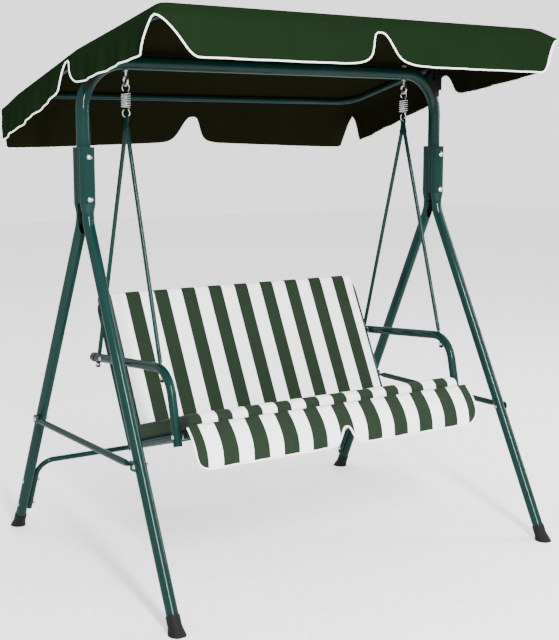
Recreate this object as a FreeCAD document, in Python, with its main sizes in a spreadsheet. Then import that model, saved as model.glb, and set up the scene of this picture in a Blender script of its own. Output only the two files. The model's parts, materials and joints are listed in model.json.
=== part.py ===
"""Two-seat glider swing: a tube frame, a hung bench on two springs and a tilting canopy.

Millimetres, +Z up, X along the width, -Y to the front. The origin is on the floor,
midway between the four feet.
"""
import FreeCAD, Part
import math
import os
import re
import Sketcher
from FreeCAD import Placement, Rotation, Vector

SIZES = (
    # tube frame
    ("foot_x", 636, "centre of a foot from the middle, across"),
    ("foot_y", 515, "centre of a foot from the middle, front to back"),
    ("joint_x", 618, "crossbar end from the middle"),
    ("split_height", 988, "height where a leg turns upright"),
    ("shell_top", 1188, "top of the pressed leg ends"),
    ("leg_diameter", 32, "leg tube"),
    ("leg_bend", 100, "bend radius of a leg"),
    ("leg_lift", 16, "leg's end above the floor, along the leg"),
    ("leg_wall", 1.2, "wall of a leg"),
    ("press_width", 43, "pressed leg end, across"),
    ("press_depth", 36.4, "pressed leg end, front to back"),
    ("press_run", 24, "length over which a leg goes from round to pressed"),
    ("fit_gap", 0.2, "clearance between fixed pieces of the frame"),
    ("beam_height", 1415, "crossbar's centre line"),
    ("beam_diameter", 38, "crossbar tube"),
    ("beam_wall", 1.4, "wall of the crossbar"),
    ("beam_bend", 125, "bend radius of the crossbar"),
    ("beam_tail", 1038, "lower ends of the crossbar"),
    ("upper_bolt_z", 1162, "upper bolt of a frame joint"),
    ("lower_bolt_z", 1049, "lower bolt of a frame joint"),
    ("joint_bolt", 8, "bolt of a frame joint"),
    ("small_bolt", 6, "bolt of a brace, a stretcher and an armrest"),
    ("hole_gap", 0.2, "clearance round a bolt"),
    ("snug", 0.05, "clearance of a nut, a plug and a shaped tube end"),
    ("bolt_spare", 7, "bolt beyond the pieces that it holds"),
    ("small_nut", 5, "height of a small bolt's nut"),
    ("foot_diameter", 36.6, "rubber foot's sleeve"),
    ("foot_flare", 52, "rubber foot's base"),
    ("foot_length", 48, "rubber foot's sleeve along the leg"),
    ("brace_z", 383, "side brace above the floor"),
    ("brace_diameter", 18, "side brace tube"),
    ("brace_wall", 1.0, "wall of a side brace"),
    ("tab_thickness", 3.2, "flattened end of a brace"),
    ("tab_width", 26, "flattened end of a brace"),
    ("tab_flat", 22, "flat part of a brace's end, from its bolt"),
    ("tab_neck", 50, "start of a brace's flattening, from its bolt"),
    ("stretcher_diameter", 16, "rear stretcher tube"),
    ("stretcher_wall", 1.0, "wall of the rear stretcher"),
    ("stretcher_bend", 50, "bend radius of the rear stretcher"),
    ("stretcher_z", 229, "level run of the rear stretcher"),
    ("stretcher_end_z", 62, "lower ends of the rear stretcher"),
    ("stretcher_low_z", 80, "lower stretcher bolt"),
    ("stretcher_high_z", 164, "upper stretcher bolt"),
    # hanging gear
    ("hang_x", 489, "springs from the middle"),
    ("ring_z", 1366, "centre of an eye bolt's ring, where the seat swings"),
    ("ring_radius", 12, "eye bolt's ring, to the middle of its wire"),
    ("ring_wire", 6, "wire of an eye bolt's ring"),
    ("collar", 4, "eye bolt's collar under the crossbar"),
    ("spring_wire", 3.6, "wire of a spring"),
    ("coil_radius", 12.2, "coil of a spring, to the middle of its wire"),
    ("coil_pitch", 4.1, "one turn of a spring"),
    ("coil_turns", 9, "turns of a spring"),
    ("hook_radius", 11, "end loop of a spring, to the middle of its wire"),
    ("hook_sweep", 265, "how far an end loop goes round, degrees"),
    ("hook_turn", 35, "where an end loop starts, degrees"),
    ("hook_rise", 1, "room between an end loop and the coil"),
    ("hang_gap", 0.3, "clearance where hanging pieces touch"),
    ("bend_gap", 1.3, "extra clearance at an armrest's bend"),
    ("rod_diameter", 12, "hanger rod"),
    ("rod_stud", 8, "lower end of a hanger rod"),
    ("rod_offset", 2.2, "eye of a hanger rod from the spring's middle plane"),
    ("eye_radius", 5, "hole in a hanger rod's eye"),
    ("eye_width", 19, "flat eye of a hanger rod"),
    ("eye_thickness", 3, "flat eye of a hanger rod"),
    ("eye_flat", 40, "flat end of a hanger rod"),
    ("eye_overlap", 6, "flat end sunk in the round rod"),
    ("nut_height", 6.5, "nut of a frame joint and of a hanger rod"),
    ("cap_height", 3, "round cap under a hanger rod's nut"),
    ("rear_rod_y", 198, "rear hanger rod at the armrest"),
    ("front_rod_turn", 20, "front hanger rod's place round the armrest's bend, degrees"),
    # bench
    ("bench_tube", 22, "tube of the seat and the back"),
    ("bench_wall", 1.2, "wall of the bench tubes"),
    ("side_x", 467.5, "side tubes of the bench from the middle"),
    ("back_tail_y", 40.6, "lower end of a back upright"),
    ("back_tail_z", 322, "lower end of a back upright"),
    ("recline", 26.4, "back from upright, degrees"),
    ("back_length", 468, "back upright to the top bar's centre line"),
    ("back_bend", 45, "bend radius of the back tube"),
    ("rail_rise", 12.4, "seat rail above the back's lower end, along the back"),
    ("pitch", 16.96, "seat's slope down to the rear, degrees"),
    ("rail_length", 354.5, "seat rail to the front bar's centre line"),
    ("rail_bend", 20, "bend radius of the seat tube"),
    ("rear_bar_run", 30, "rear bar in front of the uprights"),
    ("pad_x", 480, "edge of the pads from the middle"),
    ("seat_thickness", 40, "seat pad"),
    ("seat_depth", 381, "seat pad's front along the rail"),
    ("seat_round", 17, "rounding of the seat pad's front"),
    ("back_thickness", 26, "back pad"),
    ("back_pad_low", 27.5, "lower edge of the back pad, along the back"),
    ("back_pad_high", 481, "upper edge of the back pad, along the back"),
    ("soft_gap", 0.3, "clearance round a soft piece"),
    ("arm_diameter", 25, "armrest tube"),
    ("arm_wall", 1.2, "wall of an armrest"),
    ("arm_rear_y", 230, "rear end of an armrest"),
    ("arm_rear_z", 569.7, "rear end of an armrest"),
    ("arm_rise", 4.46, "armrest's slope up to the front, degrees"),
    ("arm_top_run", 392, "straight top of an armrest"),
    ("arm_bend", 80, "bend radius of an armrest"),
    ("arm_turn", 81.5, "bend of an armrest, degrees"),
    ("arm_drop", 135, "lower straight of an armrest"),
    ("cap_wall", 1.6, "wall of an armrest's end cap"),
    ("cap_sleeve", 20, "an armrest's end inside its cap"),
    ("cap_end", 2, "end wall of an armrest's cap"),
    ("cap_dome", 36, "latitude where the cap's dome starts, degrees"),
    ("plug_lid", 3, "lid of a tube plug"),
    ("plug_stem", 12, "tube plug inside its tube"),
    ("washer_thickness", 2.2, "spacer between an armrest and the bench tube"),
    ("washer_radius", 10, "spacer between an armrest and the bench tube"),
    ("valance_thickness", 3, "seat's front flap"),
    ("valance_top_y", -313.6, "upper edge of the seat's front flap"),
    ("valance_top_z", 468, "upper edge of the seat's front flap"),
    ("valance_low_y", -373, "lower edge of the seat's front flap"),
    ("valance_low_z", 366, "lower edge of the seat's front flap"),
    ("valance_bow", 12, "how far the seat's front flap bows out"),
    ("valance_gap", 28, "half width of the flap's notch at the hem"),
    ("valance_neck", 13, "half width of the flap's notch near its top"),
    ("valance_neck_z", 34, "neck of the flap's notch above the hem"),
    ("valance_peak", 4, "half width of the flap's notch at its top"),
    ("valance_peak_z", 46, "top of the flap's notch above the hem"),
    # canopy
    ("ridge_x", 608, "edge of the canopy's top from the middle, across"),
    ("ridge_y", 430, "edge of the canopy's top from the middle, front to back"),
    ("ridge_z", 1450, "canopy's top above the crossbar"),
    ("front_rise", 10.28, "slope of the canopy's front half, degrees"),
    ("rear_fall", 13.02, "slope of the canopy's rear half, degrees"),
    ("brim_x", 657, "canopy's brim from the middle, across"),
    ("brim_y", 485, "canopy's brim from the middle, front to back"),
    ("brim_drop", 40, "brim's corners below the slopes of the top"),
    ("brim_middle_drop", 25, "brim's middle below the crest of the top"),
    ("cloth", 3, "canopy cloth, with room for its folds"),
    ("flap_drop", 98, "front and rear flaps below the brim"),
    ("side_drop", 82, "side flaps below the brim"),
    ("flap_flare", 38, "front and rear flaps outwards at the hem"),
    ("side_flare", 8, "side flaps outwards at the hem"),
    ("corner_notch", 86, "front and rear flaps short of the corner at the hem"),
    ("side_notch", 48, "side flaps short of the corner at the hem"),
    ("notch_half", 70, "half width of a middle notch at the hem"),
    ("notch_neck", 26, "half width of a middle notch half way up"),
    ("notch_left", 10, "flap left above a middle notch"),
    ("bow_diameter", 19, "canopy frame tube"),
    ("bow_wall", 1.0, "wall of the canopy frame tube"),
    ("bow_inset", 11, "canopy frame's centre line inside the edge of the top"),
    ("bow_below", 14.9, "canopy frame's centre line below the top"),
    ("bow_bend", 70, "bend radius of the canopy frame"),
    ("bow_start", 8, "tube ends from the middle of their holder"),
    ("pivot_x", 597, "canopy's tilt pivot from the middle"),
    ("pivot_z", 1408, "canopy's tilt pivot above the floor"),
    ("pivot_pin", 8, "bolt of the tilt pivot"),
    ("tongue_half", 6, "half thickness of the holder's tongue"),
    ("tongue_radius", 10, "rounding of the holder's tongue"),
    ("pivot_gap", 0.5, "clearance beside the tongue"),
    ("socket_wall", 1.6, "wall of the canopy tube holder"),
    ("socket_reach", 46, "length of a socket from the middle"),
    ("saddle_half", 20, "half depth of the bracket on the crossbar"),
    ("saddle_over", 6, "bracket above the tilt pivot"),
    ("saddle_out", 12, "bracket outside the crossbar's centre line"),
    ("saddle_in", 48, "bracket inside the crossbar's centre line"),
    ("saddle_lip", 2, "bracket's lower lip outside the crossbar's centre line"),
    ("saddle_toe", 14, "bracket's lower end inside the crossbar's centre line"),
    ("saddle_low", 70, "bracket's lower end below the crossbar's centre line"),
    ("saddle_step", 49, "bracket's step below the crossbar's centre line"),
    ("saddle_slant", 24, "bracket's inner end below the crossbar's centre line"),
)
NAMES = {alias for alias, number, meaning in SIZES}

doc = FreeCAD.newDocument("glider_swing")
sheet = doc.addObject("Spreadsheet::Sheet", "Sizes")
for row, (alias, number, meaning) in enumerate(SIZES, start=1):
    sheet.set("A%d" % row, meaning)
    sheet.set("B%d" % row, str(number))
    sheet.setAlias("B%d" % row, alias)
doc.recompute()

parts = []
SIDES = (("left", -1), ("right", 1))
ENDS = (("front", -1), ("rear", 1))
UP = Vector(0, 0, 1)
ACROSS = Vector(1, 0, 0)
REARWARD = Vector(0, 1, 0)


# ---------------------------------------------------------------- formulas and helpers

def formula(text):
    """Point every size name in a formula at its cell."""
    return re.sub(r"[a-z_][a-z0-9_]*",
                  lambda word: "Sizes." + word.group() if word.group() in NAMES else word.group(),
                  text)


def value(text):
    """Work a formula out, in millimetres or degrees."""
    result = sheet.evalExpression(formula(text))
    return float(getattr(result, "Value", result))


def bind(piece, **formulas):
    """Tie properties of a piece to formulas of the sheet's sizes."""
    for name, text in formulas.items():
        piece.setExpression(name, formula(text))


def point(across, along, height):
    """A place in the model from three formulas."""
    return Vector(value(across), value(along), value(height))


def aim(start, direction):
    """A placement whose own Z runs from start along direction."""
    return Placement(start, Rotation(UP, direction))


def incline(start, along):
    """A placement turned about X only, whose own Y runs along a direction without X."""
    turn = math.degrees(math.atan2(along.z, along.y))
    return Placement(start, Rotation(ACROSS, turn))


def slope(degrees):
    """A forward and upward direction at an angle from level."""
    return Vector(0, -math.cos(math.radians(degrees)), math.sin(math.radians(degrees)))


def keep(piece, label):
    """Name a finished sub-part and put it on the list to write."""
    piece.Label = label
    parts.append(piece)
    return piece


def cylinder(radius, length, place):
    """A round bar along its placement's Z."""
    bar = doc.addObject("Part::Cylinder", "bar")
    bind(bar, Radius=radius, Height=length)
    bar.Placement = place
    return bar


def box(width, depth, height, corner):
    """A block from its lowest corner."""
    block = doc.addObject("Part::Box", "block")
    bind(block, Length=width, Width=depth, Height=height)
    block.Placement = Placement(corner, Rotation())
    return block


def ball(radius, centre):
    """A sphere."""
    sphere = doc.addObject("Part::Sphere", "ball")
    bind(sphere, Radius=radius)
    sphere.Placement = Placement(centre, Rotation())
    return sphere


def dome(radius, place, edge="30"):
    """The cap of a sphere above a latitude; its flat face is at the placement."""
    cap = doc.addObject("Part::Sphere", "dome")
    bind(cap, Radius=radius, Angle1=edge)
    sunk = value("(%s) * sin((%s) * 1 deg)" % (radius, edge))
    cap.Placement = place.multiply(Placement(Vector(0, 0, -sunk), Rotation()))
    return cap


def join(*pieces):
    """Fuse pieces into one solid."""
    fused = doc.addObject("Part::MultiFuse", "joined")
    fused.Shapes = list(pieces)
    fused.Refine = True
    return fused


def group(*pieces):
    """Keep pieces together as separate solids."""
    together = doc.addObject("Part::Compound", "group")
    together.Links = list(pieces)
    return together


def cut(piece, *tools):
    """Take tools out of a piece."""
    result = doc.addObject("Part::Cut", "cut")
    result.Base = piece
    result.Tool = tools[0] if len(tools) == 1 else group(*tools)
    return result


def bolt(place, diameter, length):
    """A dome-headed bolt: the head's seat is at the placement and the shank runs down its Z."""
    shank_place = place.multiply(Placement(Vector(0, 0, -value(length)), Rotation()))
    shank = cylinder("(%s) / 2" % diameter, length, shank_place)
    head = dome("(%s) * 1.15" % diameter, place)
    return join(shank, head)


def nut(place, diameter, height):
    """A hexagon nut that sits on its placement, bored to clear its bolt."""
    blank = doc.addObject("Part::Prism", "hexagon")
    blank.Polygon = 6
    bind(blank, Circumradius="(%s) * 0.94" % diameter, Height=height)
    blank.Placement = place
    return cut(blank, cylinder("(%s) / 2 + snug" % diameter, height, place))


def origin_plane(body, role):
    return next(plane for plane in body.Origin.OriginFeatures if plane.Role == role)


def sketch_on(body, role, offset=Placement()):
    """A sketch on one of a body's own origin planes."""
    sketch = body.newObject("Sketcher::SketchObject", "sketch")
    sketch.AttachmentSupport = [(origin_plane(body, role), "")]
    sketch.MapMode = "FlatFace"
    sketch.AttachmentOffset = offset
    return sketch


def fix(sketch, kind, text, *where):
    """Add a dimension to a sketch and tie it to a formula."""
    number = value(text)
    if kind == "Angle":
        number = math.radians(number)
    index = sketch.addConstraint(Sketcher.Constraint(kind, *where, number))
    sketch.setExpression("Constraints[%d]" % index, formula(text))


def circle(sketch, radius, across="0", up="0"):
    """A dimensioned circle in a sketch."""
    centre = Vector(value(across), value(up), 0)
    ring = sketch.addGeometry(Part.Circle(centre, UP, value(radius)))
    fix(sketch, "Radius", radius, ring)
    if (across, up) == ("0", "0"):
        sketch.addConstraint(Sketcher.Constraint("Coincident", ring, 3, -1, 1))
    else:
        fix(sketch, "DistanceX", across, ring, 3)
        fix(sketch, "DistanceY", up, ring, 3)


def outline(sketch, corners):
    """A dimensioned closed outline with straight sides; each corner is two formulas."""
    spots = [Vector(value(across), value(up), 0) for across, up in corners]
    for number, spot in enumerate(spots):
        ahead = spots[(number + 1) % len(spots)]
        side = sketch.addGeometry(Part.LineSegment(spot, ahead))
        fix(sketch, "DistanceX", corners[number][0], side, 1)
        fix(sketch, "DistanceY", corners[number][1], side, 1)
    for number in range(len(spots)):
        ahead = (number + 1) % len(spots)
        sketch.addConstraint(Sketcher.Constraint("Coincident", number, 2, ahead, 1))


def trace(sketch, start, heading, moves):
    """Draw a centre line of straight runs and tangent bends; every size is a formula."""
    at = Vector(value(start[0]), value(start[1]), 0)
    last = None
    for kind, size, *turn in moves:
        angle = math.radians(value(heading))
        ahead = Vector(math.cos(angle), math.sin(angle), 0)
        if kind == "run":
            end = at + ahead * value(size)
            piece = sketch.addGeometry(Part.LineSegment(at, end))
            fix(sketch, "Distance", size, piece)
            fix(sketch, "Angle", heading, piece)
            near, far = 1, 2
        else:
            swing = math.radians(value(turn[0]))
            side = math.copysign(1, swing)
            radius = value(size)
            centre = at + Vector(-ahead.y, ahead.x, 0) * (radius * side)
            begin = math.atan2(at.y - centre.y, at.x - centre.x)
            low, high = sorted((begin, begin + swing))
            piece = sketch.addGeometry(Part.ArcOfCircle(Part.Circle(centre, UP, radius), low, high))
            fix(sketch, "Radius", size, piece)
            near, far = (1, 2) if side > 0 else (2, 1)
            end = centre + Vector(math.cos(begin + swing), math.sin(begin + swing), 0) * radius
            heading = "(%s) + (%s)" % (heading, turn[0])
        if last is None:
            fix(sketch, "DistanceX", start[0], piece, near)
            fix(sketch, "DistanceY", start[1], piece, near)
        else:
            sketch.addConstraint(Sketcher.Constraint("Tangent", *last, piece, near))
        last = (piece, far)
        at = end


def pipe(body, kind, role, start, heading, moves, radii):
    """Sweep concentric circles along a traced centre line."""
    path = sketch_on(body, role)
    trace(path, start, heading, moves)
    angle = math.radians(value(heading))
    ahead = Vector(math.cos(angle), math.sin(angle), 0)
    first = Placement(Vector(value(start[0]), value(start[1]), 0), Rotation(UP, ahead))
    section = sketch_on(body, role, first)
    for radius in radii:
        circle(section, radius)
    feature = body.newObject(kind, "sweep")
    feature.Profile = section
    feature.Spine = (path, ["Edge%d" % (number + 1) for number in range(len(moves))])
    body.Tip = feature
    return feature


def tube(role, start, heading, moves, diameter, wall=None, place=Placement()):
    """A bent tube, or a bent bar where no wall is given."""
    body = doc.addObject("PartDesign::Body", "tube")
    radii = ["(%s) / 2" % diameter]
    if wall:
        radii.append("(%s) / 2 - (%s)" % (diameter, wall))
    pipe(body, "PartDesign::AdditivePipe", role, start, heading, moves, radii)
    body.Placement = place
    return body


def pad(body, sketch, length):
    """Pad a sketch, half to each side."""
    feature = body.newObject("PartDesign::Pad", "pad")
    feature.Profile = sketch
    bind(feature, Length=length)
    feature.Midplane = True
    body.Tip = feature
    return feature


def drill(body, role, spots, radius):
    """Bore right through a body at each spot of an origin plane."""
    sketch = sketch_on(body, role)
    for across, up in spots:
        circle(sketch, radius, across, up)
    pocket = body.newObject("PartDesign::Pocket", "bore")
    pocket.Profile = sketch
    pocket.Type = 1
    pocket.Midplane = True
    body.Tip = pocket
    return pocket


def round_edges(body, radius, wanted):
    """Round the edges of a body that pass a test."""
    doc.recompute()
    tip = body.Tip
    names = ["Edge%d" % (number + 1) for number, edge in enumerate(tip.Shape.Edges) if wanted(edge)]
    fillet = body.newObject("PartDesign::Fillet", "rounding")
    fillet.Base = (tip, names)
    bind(fillet, Radius=radius)
    body.Tip = fillet
    return fillet


# ---------------------------------------------------------------- crossbar

BEAM_START = ("-joint_x", "beam_tail")
BEAM_MOVES = (
    ("run", "beam_height - beam_bend - beam_tail"),
    ("turn", "beam_bend", "-90 deg"),
    ("run", "2 * (joint_x - beam_bend)"),
    ("turn", "beam_bend", "-90 deg"),
    ("run", "beam_height - beam_bend - beam_tail"),
)


def crossbar():
    beam = tube("XZ_Plane", BEAM_START, "90 deg", BEAM_MOVES, "beam_diameter", "beam_wall")
    joints = [(across, height) for across in ("-joint_x", "joint_x")
              for height in ("lower_bolt_z", "upper_bolt_z")]
    drill(beam, "XZ_Plane", joints, "joint_bolt / 2 + hole_gap")
    drill(beam, "XY_Plane", [("-hang_x", "0"), ("hang_x", "0")], "joint_bolt / 2 + hole_gap")
    keep(beam, "crossbar")


# ---------------------------------------------------------------- legs and feet

LEG_TOP_Y = "(beam_diameter / 2 + fit_gap)"
LEG_REACH = "sqrt((foot_x - joint_x)^2 + (foot_y - %s)^2)" % LEG_TOP_Y
LEG_ANGLE = "atan(split_height / %s)" % LEG_REACH
LEG_TANGENT = "leg_bend * tan(45 deg - (%s) / 2)" % LEG_ANGLE
LEG_MOVES = (
    ("run", "split_height / sin(%s) - leg_lift - %s" % (LEG_ANGLE, LEG_TANGENT)),
    ("turn", "leg_bend", "(%s) - 90 deg" % LEG_ANGLE),
    ("run", "1"),
)
PRESS_Z = "split_height + %s + 1" % LEG_TANGENT


def leg_place(side, end):
    """A leg's own frame: Z on its upright axis, X out to its foot."""
    top = Vector(side * value("joint_x"), end * value(LEG_TOP_Y), 0)
    foot = Vector(side * value("foot_x"), end * value("foot_y"), 0)
    return Placement(top, Rotation(ACROSS, foot - top))


def pressed_block(shrink, outside):
    """Round to oval, then oval up to the top, in a leg's own frame."""
    low = doc.addObject("Part::Circle", "round_end")
    bind(low, Radius="leg_diameter / 2 - (%s)" % shrink)
    low.Placement = Placement(point("0", "0", PRESS_Z), Rotation())
    ovals = []
    for height in ("%s + press_run" % PRESS_Z,) * 2:
        oval = doc.addObject("Part::Ellipse", "oval")
        bind(oval, MajorRadius="press_width / 2 - (%s)" % shrink,
             MinorRadius="press_depth / 2 - (%s)" % shrink)
        oval.Placement = Placement(point("0", "0", height), Rotation(UP, 90))
        ovals.append(oval)
    neck = doc.addObject("Part::Loft", "neck")
    neck.Sections = [low, ovals[0]]
    neck.Solid = True
    neck.Ruled = True
    upright = doc.addObject("Part::Extrusion", "upright")
    upright.Base = ovals[1]
    upright.DirMode = "Custom"
    upright.Dir = UP
    upright.Solid = True
    bind(upright, LengthFwd="shell_top - (%s + press_run) + (%s)" % (PRESS_Z, outside))
    return join(neck, upright)


def leg(side_name, side, end_name, end):
    place = leg_place(side, end)
    inside = place.inverse()

    def own(start, direction):
        return inside.multiply(aim(start, direction))

    start = ("%s - leg_lift * cos(%s)" % (LEG_REACH, LEG_ANGLE), "leg_lift * sin(%s)" % LEG_ANGLE)
    stem = tube("XZ_Plane", start, "180 deg - (%s)" % LEG_ANGLE, LEG_MOVES, "leg_diameter",
                "leg_wall")
    joint = Vector(side * value("joint_x"), 0, 0)
    long_bar = "shell_top * 2"
    bore = cylinder("beam_diameter / 2 + fit_gap", long_bar, own(joint, UP))
    skin = pressed_block("0", "0")
    hollow = pressed_block("leg_wall", "1")
    lining = cylinder("beam_diameter / 2 + fit_gap + leg_wall", long_bar, own(joint, UP))
    wall = cut(skin, cut(hollow, lining))
    holes = []
    for height in ("lower_bolt_z", "upper_bolt_z"):
        front = Vector(joint.x, -value("foot_y"), value(height))
        holes.append(cylinder("joint_bolt / 2 + hole_gap", "foot_y * 2", own(front, REARWARD)))
    heights = ["brace_z"] + (["stretcher_low_z", "stretcher_high_z"] if end > 0 else [])
    for height in heights:
        through = leg_point(side, end, height) - ACROSS * (side * value("foot_x") / 2)
        holes.append(cylinder("small_bolt / 2 + hole_gap", "foot_x", own(through, ACROSS * side)))
    result = cut(join(stem, wall), bore, *holes)
    result.Placement = place
    keep(result, "%s_%s_leg" % (end_name, side_name))


def leg_point(side, end, height):
    """The place on a leg's straight centre line at a height."""
    share = value("(%s) / split_height" % height)
    low = Vector(side * value("foot_x"), end * value("foot_y"), 0)
    high = Vector(side * value("joint_x"), end * value(LEG_TOP_Y), value("split_height"))
    return low + (high - low) * share


def foot(side_name, side, end_name, end):
    low = leg_point(side, end, "0")
    along = leg_point(side, end, "split_height") - low
    along.normalize()
    sleeve = cylinder("foot_diameter / 2", "foot_length + leg_lift",
                      aim(low - along * value("leg_lift"), along))
    flare = doc.addObject("Part::Cone", "flare")
    bind(flare, Radius1="foot_flare / 2", Radius2="foot_diameter / 2", Height="leg_lift * 2")
    flare.Placement = aim(low - along * value("leg_lift * 0.75"), along)
    bore = cylinder("leg_diameter / 2 + fit_gap / 2", "foot_length",
                    aim(low + along * value("leg_lift - fit_gap / 2"), along))
    wide = "foot_flare * 3"
    floor = box(wide, wide, wide, low - Vector(1, 1, 2) * (value(wide) / 2))
    keep(cut(join(sleeve, flare), floor, bore), "%s_%s_foot" % (end_name, side_name))


# ---------------------------------------------------------------- braces and stretcher

def side_brace(side_name, side):
    """A tube beside both legs with flattened, drilled ends."""
    reach = abs(leg_point(side, 1, "brace_z").y)
    leg_x = leg_point(side, 1, "brace_z").x
    tab_x = leg_x + side * value("leg_diameter / 2 + fit_gap + tab_thickness / 2")
    height = value("brace_z")
    flat, neck_start = value("tab_flat"), value("tab_neck")
    solids, hollows = [], []
    for end in (-1, 1):
        sections = []
        for shrink in ("0", "brace_wall"):
            rim = doc.addObject("Part::Circle", "rim")
            bind(rim, Radius="brace_diameter / 2 - (%s)" % shrink)
            rim.Placement = aim(Vector(tab_x, end * (reach - neck_start), height), REARWARD * end)
            oval = doc.addObject("Part::Ellipse", "oval")
            bind(oval, MajorRadius="tab_width / 2 - (%s)" % shrink,
                 MinorRadius="tab_thickness / 2 - (%s) / 2" % shrink)
            oval.Placement = aim(Vector(tab_x, end * (reach - flat), height), REARWARD * end)
            neck = doc.addObject("Part::Loft", "neck")
            neck.Sections = [rim, oval]
            neck.Solid = True
            neck.Ruled = True
            sections.append(neck)
        solids.append(sections[0])
        hollows.append(sections[1])
        middle = Vector(tab_x - value("tab_thickness / 2"), end * reach, height)
        solids.append(cylinder("tab_width / 2", "tab_thickness", aim(middle, ACROSS)))
        corner = Vector(middle.x, min(end * reach, end * (reach - flat)),
                        height - value("tab_width / 2"))
        solids.append(box("tab_thickness", "tab_flat", "tab_width", corner))
    start = Vector(tab_x, neck_start - reach, height)
    long_tube = "%r - 2 * tab_neck" % (2 * reach)
    solids.append(cylinder("brace_diameter / 2", long_tube, aim(start, REARWARD)))
    hollows.append(cylinder("brace_diameter / 2 - brace_wall", long_tube, aim(start, REARWARD)))
    for end in (-1, 1):
        hole = Vector(tab_x - value("tab_width"), end * reach, height)
        hollows.append(cylinder("small_bolt / 2 + hole_gap", "tab_width * 2", aim(hole, ACROSS)))
    keep(cut(join(*solids), *hollows), "%s_side_brace" % side_name)


SPLAY = "atan((foot_x - joint_x) * sin(%s) / split_height)" % LEG_ANGLE
STRETCHER_X = ("(foot_x - (foot_x - joint_x) * stretcher_z / split_height"
               " - leg_diameter / 2 - stretcher_diameter / 2 - fit_gap)")
ALONG_LEG = "(%s) / sin(" + LEG_ANGLE + ")"
STRETCHER_TOP = ALONG_LEG % "stretcher_z"
STRETCHER_LOW = ALONG_LEG % "stretcher_end_z"
STRETCHER_CORNER = "stretcher_bend * tan(45 deg - (%s) / 2)" % SPLAY
STRETCHER_END = "(%s) / cos(%s) - (%s)" % (
    "%s - %s" % (STRETCHER_TOP, STRETCHER_LOW), SPLAY, STRETCHER_CORNER)


def rear_stretcher():
    """A level tube whose ends turn down inside the rear legs, in the rear legs' plane."""
    start = ("-%s - (%s - %s) * tan(%s)" % (STRETCHER_X, STRETCHER_TOP, STRETCHER_LOW, SPLAY),
             STRETCHER_LOW)
    moves = (
        ("run", STRETCHER_END),
        ("turn", "stretcher_bend", "%s - 90 deg" % SPLAY),
        ("run", "2 * (%s - (%s))" % (STRETCHER_X, STRETCHER_CORNER)),
        ("turn", "stretcher_bend", "%s - 90 deg" % SPLAY),
        ("run", STRETCHER_END),
    )
    rise = slope(value(LEG_ANGLE))
    bar = tube("XY_Plane", start, "90 deg - %s" % SPLAY, moves, "stretcher_diameter",
               "stretcher_wall", incline(point("0", "foot_y", "0"), rise))
    holes = []
    for side in (-1, 1):
        for height in ("stretcher_low_z", "stretcher_high_z"):
            through = leg_point(side, 1, height) - ACROSS * (side * value("foot_x") / 2)
            holes.append(cylinder("small_bolt / 2 + hole_gap", "foot_x", aim(through, ACROSS * side)))
    keep(cut(bar, *holes), "rear_stretcher")


def frame_fasteners():
    """Bolts and nuts of the frame, one node for each kind."""
    face = value("%s + press_depth / 2" % LEG_TOP_Y)
    bolts, nuts = [], []
    for side in (-1, 1):
        for height in ("lower_bolt_z", "upper_bolt_z"):
            front = Vector(side * value("joint_x"), -face, value(height))
            rear = Vector(front.x, face, front.z)
            bolts.append(bolt(aim(front, -REARWARD), "joint_bolt", "%r + bolt_spare" % (2 * face)))
            nuts.append(nut(aim(rear, REARWARD), "joint_bolt", "nut_height"))
    keep(group(*bolts), "frame_joint_bolts")
    keep(group(*nuts), "frame_joint_nuts")
    bolts, nuts = [], []
    for side in (-1, 1):
        for end in (-1, 1):
            middle = leg_point(side, end, "brace_z")
            outer = middle + ACROSS * (side * value("leg_diameter / 2 + fit_gap + tab_thickness"))
            inner = middle - ACROSS * (side * value("leg_diameter / 2"))
            bolts.append(bolt(aim(outer, ACROSS * side), "small_bolt",
                              "leg_diameter + fit_gap + tab_thickness + bolt_spare"))
            nuts.append(nut(aim(inner, ACROSS * -side), "small_bolt", "small_nut"))
    keep(group(*bolts), "brace_bolts")
    keep(group(*nuts), "brace_nuts")
    bolts, nuts = [], []
    for side in (-1, 1):
        for height in ("stretcher_low_z", "stretcher_high_z"):
            middle = leg_point(side, 1, height)
            outer = middle + ACROSS * (side * value("leg_diameter / 2"))
            tube_face = value("leg_diameter / 2 + stretcher_diameter + fit_gap")
            inner = middle - ACROSS * (side * (tube_face + value("fit_gap")))
            bolts.append(bolt(aim(outer, ACROSS * side), "small_bolt",
                              "leg_diameter + stretcher_diameter + bolt_spare"))
            nuts.append(nut(aim(inner, ACROSS * -side), "small_bolt", "small_nut"))
    keep(group(*bolts), "stretcher_bolts")
    keep(group(*nuts), "stretcher_nuts")


# ---------------------------------------------------------------- hanging gear

TOP_LOOP_Z = "(ring_z - ring_radius + ring_wire / 2 + spring_wire / 2 + hang_gap - hook_radius)"
COIL_TOP_Z = "(%s - hook_radius - spring_wire - hook_rise)" % TOP_LOOP_Z
COIL_LOW_Z = "(%s - coil_turns * coil_pitch)" % COIL_TOP_Z
LOW_LOOP_Z = "(%s - hook_radius - spring_wire - hook_rise)" % COIL_LOW_Z
WIRE_RISE = "(hook_radius - sqrt(hook_radius^2 - (rod_offset + eye_thickness / 2)^2))"
EYE_Z = "(%s - hook_radius + spring_wire / 2 + %s + hang_gap - eye_radius)" % (LOW_LOOP_Z, WIRE_RISE)


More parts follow.
